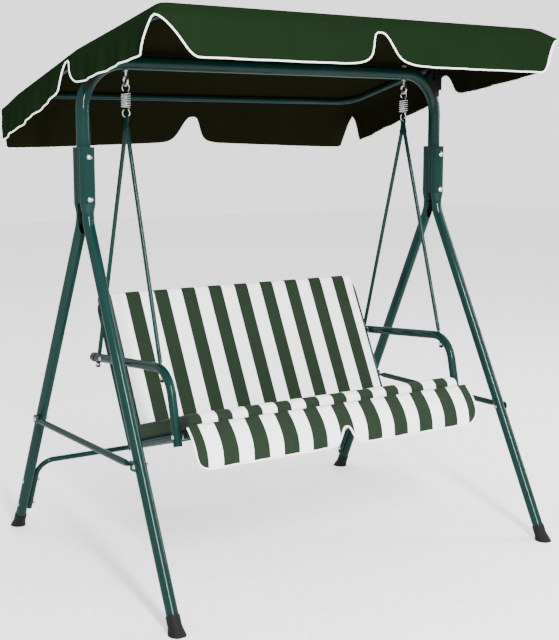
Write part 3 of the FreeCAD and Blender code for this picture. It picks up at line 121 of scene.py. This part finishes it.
class Finish:
    """A material and its node tree, with short ways to add and join nodes."""

    def __init__(self, name, **sockets):
        self.material = bpy.data.materials.new(name)
        self.material.use_nodes = True
        self.tree = self.material.node_tree
        self.shader = self.tree.nodes["Principled BSDF"]
        for socket, number in sockets.items():
            self.shader.inputs[socket.replace("_", " ")].default_value = number

    def node(self, kind, **settings):
        made = self.tree.nodes.new("ShaderNode" + kind)
        for key, setting in settings.items():
            setattr(made, key, setting)
        return made

    def link(self, source, target):
        self.tree.links.new(source, target)

    def place(self, which="Object"):
        return self.node("TexCoord").outputs[which]

    def math(self, operation, first, second):
        made = self.node("Math", operation=operation)
        for socket, given in zip(made.inputs, (first, second)):
            if isinstance(given, (int, float)):
                socket.default_value = given
            else:
                self.link(given, socket)
        return made.outputs[0]

    def noise(self, scale, detail=2.0, where=None):
        made = self.node("TexNoise")
        made.inputs["Scale"].default_value = scale
        made.inputs["Detail"].default_value = detail
        self.link(where or self.place(), made.inputs["Vector"])
        return made.outputs["Fac"]

    def spread(self, value, low, high):
        """Turn 0 to 1 into low to high."""
        made = self.node("MapRange")
        made.inputs["To Min"].default_value = low
        made.inputs["To Max"].default_value = high
        self.link(value, made.inputs["Value"])
        return made.outputs["Result"]

    def between(self, share, dark, light):
        """Mix two colours; each is a plain colour or another node's output."""
        made = self.node("Mix", data_type="RGBA")
        self.link(share, made.inputs["Factor"])
        for socket, colour in ((made.inputs[6], dark), (made.inputs[7], light)):
            if isinstance(colour, tuple):
                socket.default_value = (*colour, 1)
            else:
                self.link(colour, socket)
        return made.outputs[2]

    def bump(self, height, strength, distance):
        made = self.node("Bump")
        made.inputs["Strength"].default_value = strength
        made.inputs["Distance"].default_value = distance
        self.link(height, made.inputs["Height"])
        previous = self.shader.inputs["Normal"].links
        if previous:
            self.link(previous[0].from_socket, made.inputs["Normal"])
        self.link(made.outputs["Normal"], self.shader.inputs["Normal"])

    def colour(self, output):
        self.link(output, self.shader.inputs["Base Color"])

    def roughness(self, low, high, scale):
        self.link(self.spread(self.noise(scale), low, high), self.shader.inputs["Roughness"])


def shade_of(colour, factor):
    return tuple(channel * factor for channel in colour)


def weave(finish, threads, depth):
    """Plain weave: two crossed sets of threads, on the cloth's own UV map in metres."""
    split = finish.node("SeparateXYZ")
    finish.link(finish.place("UV"), split.inputs[0])
    turn = math.tau * threads
    warp = finish.math("SINE", finish.math("MULTIPLY", split.outputs["X"], turn), 0)
    weft = finish.math("SINE", finish.math("MULTIPLY", split.outputs["Y"], turn), 0)
    crossed = finish.math("MULTIPLY", warp, weft)
    finish.bump(crossed, 0.35, depth)
    return finish.spread(crossed, 0.0, 1.0)


# ---------------------------------------------------------------- finishes

def powder_coat():
    finish = Finish("green_powder_coat", Coat_Weight=0.32, Coat_Roughness=0.10, Coat_IOR=1.4,
                    Specular_IOR_Level=0.0)
    finish.colour(finish.between(finish.noise(9, 4), shade_of(POWDER_GREEN, 0.8),
                                 shade_of(POWDER_GREEN, 1.25)))
    finish.roughness(0.26, 0.36, 14)
    finish.bump(finish.noise(900, 1), 0.10, 0.0004)
    return finish.material


def zinc_plate():
    finish = Finish("bright_zinc", Metallic=1.0)
    finish.colour(finish.between(finish.noise(160, 3), shade_of(ZINC, 0.7), ZINC))
    finish.roughness(0.22, 0.42, 220)
    finish.bump(finish.noise(1500, 1), 0.08, 0.0002)
    return finish.material


def moulded(name, colour, low, high):
    finish = Finish(name, Specular_IOR_Level=0.12)
    finish.colour(finish.between(finish.noise(60, 3), shade_of(colour, 0.8), shade_of(colour, 1.2)))
    finish.roughness(low, high, 90)
    finish.bump(finish.noise(1400, 2), 0.2, 0.0003)
    return finish.material


def cover_cloth(name, colour, rough, gloss):
    finish = Finish(name, Specular_IOR_Level=gloss)
    cloud = finish.between(finish.noise(7, 5), shade_of(colour, 0.86), shade_of(colour, 1.14))
    threads = weave(finish, 700, 0.0004)
    finish.colour(finish.between(threads, cloud, shade_of(colour, 1.12)))
    finish.roughness(rough - 0.08, rough + 0.08, 30)
    finish.bump(finish.noise(26, 3), 0.25, 0.002)
    return finish.material


def striped_cloth(name, first):
    """Green and white stripes across the width; a green one starts at first from the middle."""
    finish = Finish(name, Sheen_Weight=0.02, Sheen_Roughness=0.5, Specular_IOR_Level=0.1)
    split = finish.node("SeparateXYZ")
    finish.link(finish.place(), split.inputs[0])
    across = finish.math("SUBTRACT", split.outputs["X"], first - 20 * STRIPE)
    pairs = finish.math("DIVIDE", across, 2 * STRIPE)
    white = finish.math("GREATER_THAN", finish.math("FRACT", pairs, 0), 0.5)
    threads = weave(finish, 620, 0.0004)
    green = finish.between(threads, shade_of(STRIPE_GREEN, 0.82), shade_of(STRIPE_GREEN, 1.15))
    pale = finish.between(threads, shade_of(STRIPE_WHITE, 0.93), STRIPE_WHITE)
    finish.colour(finish.between(white, green, pale))
    finish.roughness(0.72, 0.9, 40)
    finish.bump(finish.noise(22, 3), 0.25, 0.0016)
    return finish.material


def piping_cloth():
    """A twisted, woven white binding."""
    finish = Finish("white_piping", Sheen_Weight=0.2, Specular_IOR_Level=0.3)
    finish.colour(finish.between(finish.noise(240, 2), shade_of(PIPING_WHITE, 0.9), PIPING_WHITE))
    finish.roughness(0.6, 0.8, 60)
    twist = finish.node("TexWave")
    twist.inputs["Scale"].default_value = 260
    finish.link(finish.place(), twist.inputs["Vector"])
    finish.bump(twist.outputs["Fac"], 0.3, 0.0004)
    return finish.material


POWDER_COAT = powder_coat()
BRIGHT_ZINC = zinc_plate()
RUBBER = moulded("black_rubber", BLACK, 0.6, 0.8)
BLACK_PLASTIC = moulded("black_plastic", BLACK, 0.35, 0.5)
WHITE_PLASTIC = moulded("white_plastic", PLUG_WHITE, 0.35, 0.5)
COVER_OUTSIDE = cover_cloth("canopy_cloth", COVER_GREEN, 0.8, 0.0)
# The inside material is a darker copy of the canopy cloth, with painted shade for the cover's
# underside
COVER_SHADED_INSIDE = cover_cloth("canopy_underside_painted_shade", COVER_UNDERSIDE_SHADE, 0.7, 0.0)
PAD_CLOTH = striped_cloth("striped_pad_cloth", 0)
FLAP_CLOTH = striped_cloth("striped_flap_cloth", -STRIPE / 2)
PIPING = piping_cloth()
SLOT_FINISHES = {
    "frame_paint": POWDER_COAT,
    "zinc_plate": BRIGHT_ZINC,
    "rubber": RUBBER,
    "black_plastic": BLACK_PLASTIC,
    "white_plastic": WHITE_PLASTIC,
    "striped_fabric": PAD_CLOTH,
    "canopy_fabric": COVER_OUTSIDE,
}


def finish_frame():
    """Give every carried-over piece the finish of its slot."""
    for part in frame["record"]["subparts"]:
        mesh = NODES[part["node"]].data
        mesh.materials.clear()
        mesh.materials.append(SLOT_FINISHES[part["material_slot"]])


# ---------------------------------------------------------------- mesh helpers

def new_piece(name, bm, *finishes):
    """Turn a bmesh into a smooth-shaded object."""
    mesh = bpy.data.meshes.new(name)
    bm.to_mesh(mesh)
    bm.free()
    piece = bpy.data.objects.new(name, mesh)
    bpy.context.scene.collection.objects.link(piece)
    for finish in finishes:
        mesh.materials.append(finish)
    mesh.shade_smooth()
    return piece


def applied(piece):
    """Bake a piece's modifiers into its mesh."""
    graph = bpy.context.evaluated_depsgraph_get()
    baked = bpy.data.meshes.new_from_object(piece.evaluated_get(graph))
    piece.modifiers.clear()
    piece.data = baked
    return piece


def cord_along(name, points, radius, closed, finish, sides=3):
    """A round cord of mesh along a line of points."""
    curve = bpy.data.curves.new(name, "CURVE")
    curve.dimensions = "3D"
    curve.bevel_depth = radius
    curve.bevel_resolution = sides
    curve.use_fill_caps = not closed
    line = curve.splines.new("POLY")
    line.points.add(len(points) - 1)
    for knot, spot in zip(line.points, points):
        knot.co = (*spot, 1)
    line.use_cyclic_u = closed
    rope = bpy.data.objects.new(name, curve)
    bpy.context.scene.collection.objects.link(rope)
    graph = bpy.context.evaluated_depsgraph_get()
    mesh = bpy.data.meshes.new_from_object(rope.evaluated_get(graph))
    bpy.data.objects.remove(rope)
    mesh.materials.clear()
    mesh.materials.append(finish)
    mesh.shade_smooth()
    piece = bpy.data.objects.new(name, mesh)
    bpy.context.scene.collection.objects.link(piece)
    return piece


def smooth_step(share):
    share = min(max(share, 0), 1)
    return share * share * (3 - 2 * share)


def rim_of(bm):
    return [edge for edge in bm.edges if edge.is_boundary]


def rim_loops(piece):
    """The open edges of a mesh as ordered loops of points."""
    bm = bmesh.new()
    bm.from_mesh(piece.data)
    waiting = set(rim_of(bm))
    loops = []
    while waiting:
        edge = waiting.pop()
        first, at = edge.verts
        loop = [first.co.copy(), at.co.copy()]
        while at != first:
            edge = next(near for near in at.link_edges if near in waiting)
            waiting.discard(edge)
            at = edge.other_vert(at)
            loop.append(at.co.copy())
        loops.append(loop[:-1])
    bm.free()
    return loops


# ---------------------------------------------------------------- canopy cover

def top_height(x, y):
    """The stretched top over the two bows, sagging a little between their side arms."""
    grade = FRONT_SLOPE if y < 0 else REAR_SLOPE
    share = min(abs(y) / RIDGE_Y, 1)
    sag = COVER_SAG * math.sin(math.pi * share) ** 2
    sag *= 1 - smooth_step((abs(x) - SAG_END) / SAG_FADE)
    return CREST_Z - COVER_SINK + abs(y) * grade - sag


def rounded_corner(x, y):
    """Pull the corners of the top in to the bows' bends."""
    inner_x, inner_y = RIDGE_X - CORNER_ROUND, RIDGE_Y - CORNER_ROUND
    over = Vector((abs(x) - inner_x, abs(y) - inner_y))
    if min(over) <= 0:
        return x, y
    over *= max(over) / over.length
    return math.copysign(inner_x + over.x, x), math.copysign(inner_y + over.y, y)


def brim_point(px, py):
    """A point of the brim for a place on the rim of the unit square."""
    y = py * BRIM_Y
    grade = FRONT_SLOPE if y < 0 else REAR_SLOPE
    corner_z = CREST_Z - BRIM_DROP + BRIM_Y * grade
    middle_z = CREST_Z - BRIM_MIDDLE_DROP
    return Vector((px * BRIM_X, y, middle_z + (corner_z - middle_z) * abs(py)))


def bell(distance, neck):
    """The outline of a notch: 1 in its middle, a half at its neck, 0 far away."""
    return 1 / (1 + (distance / neck) ** NOTCH_POWER)


def flap_share(px, py):
    """How much of its full drop the flap has at a place on the rim."""
    on_end = abs(py) > abs(px) - 1e-6
    along = (1 - abs(px)) * BRIM_X if on_end else (1 - abs(py)) * BRIM_Y
    middle = abs(px) * BRIM_X if on_end else abs(py) * BRIM_Y
    reach = REAR_CORNER if py > 0 else FRONT_CORNER if on_end else SIDE_CORNER
    corner = smooth_step(along / reach)
    notch = NOTCH_DEPTH * bell(middle, END_NECK if on_end else SIDE_NECK)
    return LEAST_FLAP + (1 - LEAST_FLAP) * corner * (1 - notch)


def flap_fall(px, py):
    """The flap's slant at a place on the rim, from brim to full hem; rear corners droop."""
    droop = REAR_DROOP * smooth_step(py) * smooth_step(abs(px)) if py > 0 else 0
    if abs(py) > abs(px) - 1e-6:
        return Vector((0, math.copysign(END_FLARE, py), -END_DROP - droop))
    return Vector((math.copysign(SIDE_FLARE + DROOP_FLARE * droop, px), 0, -SIDE_DROP - droop))


def flap_wave(px, py):
    """Soft folds of the hanging cloth, outwards."""
    run = px * 9 + py * 7
    return 0.0035 * math.sin(run * 3.1) + 0.002 * math.sin(run * 7.3 + 1)


def canopy_cover():
    """One sewn cover: a stretched top, a sloping brim and flaps with arched notches."""
    bm = bmesh.new()
    bmesh.ops.create_grid(bm, x_segments=COVER_COLUMNS, y_segments=COVER_ROWS, size=1)
    place = {vert: (vert.co.x, vert.co.y) for vert in bm.verts}
    rim = rim_of(bm)
    for vert in bm.verts:
        x, y = rounded_corner(vert.co.x * RIDGE_X, vert.co.y * RIDGE_Y)
        vert.co = (x, y, top_height(x, y))
    ridge = {}
    for vert in {vert for edge in rim for vert in edge.verts}:
        ridge[place[vert]] = vert.co.copy()
    for row in range(1, BRIM_ROWS + FLAP_ROWS + 1):
        made = bmesh.ops.extrude_edge_only(bm, edges=rim)["geom"]
        rim = [item for item in made if isinstance(item, bmesh.types.BMEdge) and item.is_boundary]
        spots = {}
        for vert in [item for item in made if isinstance(item, bmesh.types.BMVert)]:
            spots[vert] = nearest_place(vert, place)
        for vert, spot in spots.items():
            place[vert] = spot
            vert.co = cover_point(spot, row, ridge)
    bmesh.ops.recalc_face_normals(bm, faces=bm.faces)
    flat_map(bm)
    cover = new_piece("canopy_cover", bm, COVER_OUTSIDE, COVER_SHADED_INSIDE)
    hem = rim_loops(cover)[0]
    wall = cover.modifiers.new("cloth", "SOLIDIFY")
    wall.thickness = COVER_THICKNESS
    wall.offset = -1
    # The inner faces take the darker inside material, which paints shade on the cover's underside
    wall.material_offset = 1
    wall.material_offset_rim = 0
    return cover, hem


def nearest_place(vert, place):
    """The rim place of the vertex that a new one was pulled from."""
    return next(place[edge.other_vert(vert)] for edge in vert.link_edges
                if edge.other_vert(vert) in place)


def cover_point(spot, row, ridge):
    """Where a column of the cover lies at a row of the brim or the flap."""
    px, py = spot
    brim = brim_point(px, py)
    if row <= BRIM_ROWS:
        share = row / BRIM_ROWS
        top = ridge[spot]
        lift = BRIM_LIFT * math.sin(math.pi * share) * (1 - share)
        return top.lerp(brim, share) + UP * lift
    share = (row - BRIM_ROWS) / FLAP_ROWS * flap_share(px, py)
    outwards = Vector((px if abs(px) >= abs(py) else 0, py if abs(py) > abs(px) else 0, 0))
    billow = FLAP_BILLOW * math.sin(math.pi * min(share, 1))
    return brim + flap_fall(px, py) * share + outwards * (flap_wave(px, py) * share + billow)


def flat_map(bm):
    """A UV map in metres: across and along the cloth."""
    layer = bm.loops.layers.uv.new("cloth")
    for face in bm.faces:
        face.normal_update()
        steep = face.normal
        for loop in face.loops:
            spot = loop.vert.co
            if abs(steep.x) > 0.7:
                loop[layer].uv = (spot.y, spot.z)
            elif abs(steep.y) > 0.7:
                loop[layer].uv = (spot.x, spot.z)
            else:
                loop[layer].uv = (spot.x, spot.y)


def make_canopy():
    cover, hem = canopy_cover()
    piping = cord_along("canopy_piping", hem, PIPING_RADIUS, True, PIPING)
    for piece in (cover, piping):
        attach(piece, "canopy")
    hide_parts("canopy_top", "canopy_front_flap", "canopy_rear_flap", "canopy_left_flap",
                "canopy_right_flap")


# ---------------------------------------------------------------- pads

def slab(name, centre, size, tilt, rounding):
    """A thin block with rounded corners and a round edge, turned about X."""
    bm = bmesh.new()
    bmesh.ops.create_cube(bm, size=1, matrix=Matrix.Diagonal((*size, 1)))
    upright = [edge for edge in bm.edges if abs((edge.verts[0].co - edge.verts[1].co).y) > 0.001]
    bmesh.ops.bevel(bm, geom=upright, offset=PAD_CORNER, segments=6, profile=0.5,
                    affect="EDGES", material=-1)
    rims = [edge for edge in bm.edges if edge.verts[0].co.y * edge.verts[1].co.y > 0]
    bmesh.ops.bevel(bm, geom=rims, offset=rounding, segments=6, profile=0.5,
                    affect="EDGES", material=-1)
    turn = Matrix.Translation(centre) @ Matrix.Rotation(tilt, 4, "X")
    bmesh.ops.transform(bm, matrix=turn, verts=bm.verts)
    return new_piece(name, bm)


def block_from(name, node, inset):
    """A copy of a plain solid, a little smaller, to be filled out."""
    bm = bmesh.new()
    bm.from_mesh(NODES[node].data)
    bmesh.ops.remove_doubles(bm, verts=bm.verts, dist=0.00005)
    centre = sum(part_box(node), Vector()) / 2
    low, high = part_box(node)
    shrink = [1 - 2 * inset / (high[axis] - low[axis]) for axis in range(3)]
    for vert in bm.verts:
        offset = vert.co - centre
        vert.co = centre + Vector(part * by for part, by in zip(offset, shrink))
    return new_piece(name, bm)


def plump(pad, voxel, pressure, cap):
    """Fill a pad out: remesh it, blow it up a little as cloth, and cap how far it moves."""
    remesh = pad.modifiers.new("even", "REMESH")
    remesh.mode = "VOXEL"
    remesh.voxel_size = voxel
    applied(pad)
    before = [vert.co.copy() for vert in pad.data.vertices]
    cloth = pad.modifiers.new("cloth", "CLOTH")
    cloth.settings.quality = 4
    cloth.settings.use_pressure = True
    cloth.settings.uniform_pressure_force = pressure
    cloth.settings.effector_weights.gravity = 0
    cloth.point_cache.frame_start, cloth.point_cache.frame_end = 1, FILL_FRAMES
    scene = bpy.context.scene
    for number in range(1, FILL_FRAMES + 1):
        scene.frame_set(number)
    applied(pad)
    scene.frame_set(1)
    for vert, start in zip(pad.data.vertices, before):
        moved = vert.co - start
        if moved.length > cap:
            vert.co = start + moved * (cap / moved.length)
    soften = pad.modifiers.new("soften", "SMOOTH")
    soften.iterations = 6
    return applied(pad)


def box_map(pad):
    """A UV map in metres for a pad: across it, and round it."""
    bm = bmesh.new()
    bm.from_mesh(pad.data)
    flat_map(bm)
    bm.to_mesh(pad.data)
    bm.free()


def dress(pad, finish):
    pad.data.materials.clear()
    pad.data.materials.append(finish)
    pad.data.shade_smooth()
    box_map(pad)
    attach(pad, "seat")


def back_pad():
    """The back cushion: its length and thickness are worked out from the plain solid's box."""
    low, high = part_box("back_pad")
    deep, tall = high.y - low.y, high.z - low.z
    cosine, sine = math.cos(BACK_TILT), math.sin(BACK_TILT)
    length = (tall * cosine - deep * sine) / (cosine ** 2 - sine ** 2)
    thickness = (deep * cosine - tall * sine) / (cosine ** 2 - sine ** 2)
    size = (high.x - low.x - 2 * BARE_EDGE, thickness + BACK_THICKER, length + BACK_LONGER)
    pad = slab("back_cushion", (low + high) / 2, size, -BACK_TILT, BACK_ROUND)
    plump(pad, PAD_VOXEL, BACK_PRESSURE, BACK_RISE)
    dress(pad, PAD_CLOTH)
    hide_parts("back_pad")


def seat_pad():
    pad = block_from("seat_cushion", "seat_pad", SEAT_INSET)
    plump(pad, PAD_VOXEL, SEAT_PRESSURE, SEAT_RISE)
    dress(pad, PAD_CLOTH)
    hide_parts("seat_pad")


# ---------------------------------------------------------------- front flap of the seat

FLAP_COLUMNS, FLAP_STEPS = 240, 16
FLAP_CORNER, FLAP_CORNER_LIFT = 0.036, 0.36
FLAP_NECK, FLAP_NOTCH = 0.021, 0.47
FLAP_CURL = 2.4
FLAP_THICKNESS = 0.002
FLAP_PIPING_RADIUS = 0.0028
FLAP_OVERHANG = 0.009


def hem_run(loop, top_z):
    """The part of an edge loop below its straight top, in order."""
    low = [spot.z < top_z - 0.0005 for spot in loop]
    first = next(number for number in range(len(loop)) if low[number] and not low[number - 1])
    turned = loop[first:] + loop[:first]
    return [spot for spot in turned if spot.z < top_z - 0.0005]


def front_flap():
    """The striped flap under the seat's front, with a middle notch, round corners and piping."""
    low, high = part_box("seat_valance")
    bm = bmesh.new()
    bmesh.ops.create_grid(bm, x_segments=FLAP_COLUMNS, y_segments=FLAP_STEPS, size=1)
    half = high.x + FLAP_OVERHANG
    top = Vector((0, high.y - 0.0035, high.z - 0.001))
    hem = Vector((0, low.y + 0.002, low.z - 0.006))
    out = Vector((0, hem.z - top.z, top.y - hem.y)).normalized()
    for vert in bm.verts:
        across, down = vert.co.x, (1 - vert.co.y) / 2
        from_end = (1 - abs(across)) * half
        corner = 1 - FLAP_CORNER_LIFT * (1 - math.sqrt(1 - (1 - min(from_end / FLAP_CORNER, 1)) ** 2))
        notch = 1 - FLAP_NOTCH * bell(abs(across) * half, FLAP_NECK)
        share = down * corner * notch
        wave = 0.0025 * math.sin(across * 31) * share
        wave += 0.0015 * math.sin(across * 74 + 2) * share
        line = Vector((0, top.y + (hem.y - top.y) * (1 - (1 - share) ** FLAP_CURL),
                       top.z + (hem.z - top.z) * share))
        vert.co = line + out * wave + Vector((across * half, 0, 0))
    flat_map(bm)
    flap = new_piece("front_flap", bm, FLAP_CLOTH)
    edge = hem_run(rim_loops(flap)[0], top.z)
    wall = flap.modifiers.new("cloth", "SOLIDIFY")
    wall.thickness = FLAP_THICKNESS
    piping = cord_along("front_flap_piping", edge, FLAP_PIPING_RADIUS, False, PIPING)
    for piece in (flap, piping):
        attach(piece, "seat")
    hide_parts("seat_valance")


# ---------------------------------------------------------------- springs

COIL_RADIUS, WIRE_RADIUS, HOOK_RADIUS = 0.0122, 0.0015, 0.011
COIL_TURNS, TURN_STEPS = 6, 24
HOOK_START = math.radians(-55)
HOOK_SWEEP = math.radians(290)
HOOK_STEPS = 24
HOOK_GAP = 0.0046


def hook_points(middle, centre_z, up):
    """An open loop round a centre, in the swing's width."""
    points = []
    for step in range(HOOK_STEPS + 1):
        angle = HOOK_START + HOOK_SWEEP * step / HOOK_STEPS
        points.append(Vector((middle + HOOK_RADIUS * math.cos(angle), 0,
                              centre_z + up * HOOK_RADIUS * math.sin(angle))))
    return points


def spring(node):
    """One wire: an end loop, the close coil and the other end loop."""
    low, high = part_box(node)
    middle = (low.x + high.x) / 2
    top_centre = high.z - WIRE_RADIUS - HOOK_RADIUS
    low_centre = low.z + WIRE_RADIUS + HOOK_RADIUS
    coil_top = top_centre - HOOK_RADIUS - HOOK_GAP
    coil_low = low_centre + HOOK_RADIUS + HOOK_GAP
    coil = []
    for step in range(COIL_TURNS * TURN_STEPS + 1):
        share = step / (COIL_TURNS * TURN_STEPS)
        angle = math.tau * COIL_TURNS * share
        coil.append(Vector((middle + COIL_RADIUS * math.cos(angle), COIL_RADIUS * math.sin(angle),
                            coil_low + (coil_top - coil_low) * share)))
    wire = hook_points(middle, low_centre, -1)[::-1] + coil + hook_points(middle, top_centre, 1)
    piece = cord_along(node + "_wire", wire, WIRE_RADIUS, False, BRIGHT_ZINC, sides=2)
    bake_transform(piece)
    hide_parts(node)


# ---------------------------------------------------------------- studio

def floor():
    bm = bmesh.new()
    bmesh.ops.create_grid(bm, x_segments=1, y_segments=1, size=14)
    plane = new_piece("floor", bm, moulded("pale_floor", FLOOR_WHITE, 0.8, 0.9))


def lamp(name, place, target, size, power):
    light = bpy.data.lights.new(name, "AREA")
    light.shape = "RECTANGLE"
    light.size, light.size_y = size
    light.energy = power
    holder = bpy.data.objects.new(name, light)
    bpy.context.scene.collection.objects.link(holder)
    holder.location = place
    holder.rotation_mode = "QUATERNION"
    holder.rotation_quaternion = (Vector(target) - Vector(place)).to_track_quat("-Z", "Y")


def studio():
    world = bpy.data.worlds.new("studio")
    world.use_nodes = True
    world.node_tree.nodes["Background"].inputs["Color"].default_value = (1, 1, 1, 1)
    world.node_tree.nodes["Background"].inputs["Strength"].default_value = 1.9
    bpy.context.scene.world = world
    lamp("key", (-1.5, -4.5, 2.8), (0, 0, 0.8), (0.45, 2.6), 640)
    lamp("overhead", (0.8, 0.6, 5.0), (0, 0, 0.5), (4.0, 4.0), 170)
    lamp("side", (4.6, -1.8, 2.4), (0, 0, 0.8), (0.30, 2.4), 160)
    floor()


def camera():
    lens = bpy.data.cameras.new("camera")
    lens.lens = CAMERA_LENS
    holder = bpy.data.objects.new("camera", lens)
    bpy.context.scene.collection.objects.link(holder)
    azimuth, elevation = math.radians(CAMERA_AZIMUTH), math.radians(CAMERA_ELEVATION)
    back = Vector((math.sin(azimuth) * math.cos(elevation), -math.cos(azimuth) * math.cos(elevation),
                   math.sin(elevation)))
    holder.location = CAMERA_PLACE
    holder.rotation_mode = "QUATERNION"
    holder.rotation_quaternion = (-back).to_track_quat("-Z", "Y")
    bpy.context.scene.camera = holder


finish_frame()
make_canopy()
back_pad()
seat_pad()
front_flap()
for node in ("left_spring", "right_spring"):
    spring(node)
studio()
camera()
